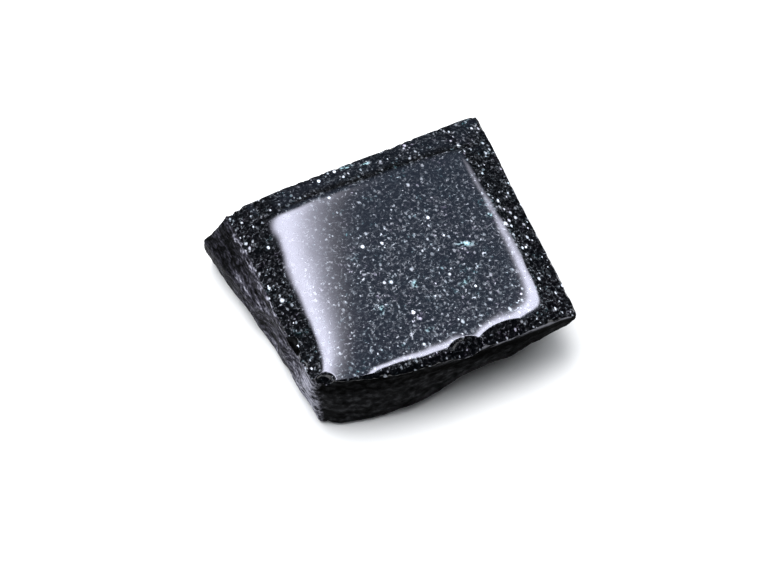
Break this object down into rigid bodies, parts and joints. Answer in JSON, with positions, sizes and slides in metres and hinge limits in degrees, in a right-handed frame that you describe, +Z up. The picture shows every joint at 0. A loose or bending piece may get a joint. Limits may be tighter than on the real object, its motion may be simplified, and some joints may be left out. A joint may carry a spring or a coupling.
{
  "type": "hematite stone",
  "caption": "Small broken slab of dark glittering hematite with a polished, gently domed top, sloping border, rough broken sides and a flat underside.",
  "frame": {"origin": "middle of the stone's bounding box, at the height of the underside it rests on", "axes": "+Z up out of the polished top, +X along the long back edge towards the back right corner, +Y towards the back edge"},
  "size_m": [0.0358, 0.0304, 0.0083],
  "materials": {
    "glittering_stone": "near-black stone full of fine silvery flecks: glassy polish on top, duller broken sides"
  },
  "bodies": {
    "root": {"stone": "glittering_stone"}
  },
  "joints": []
}
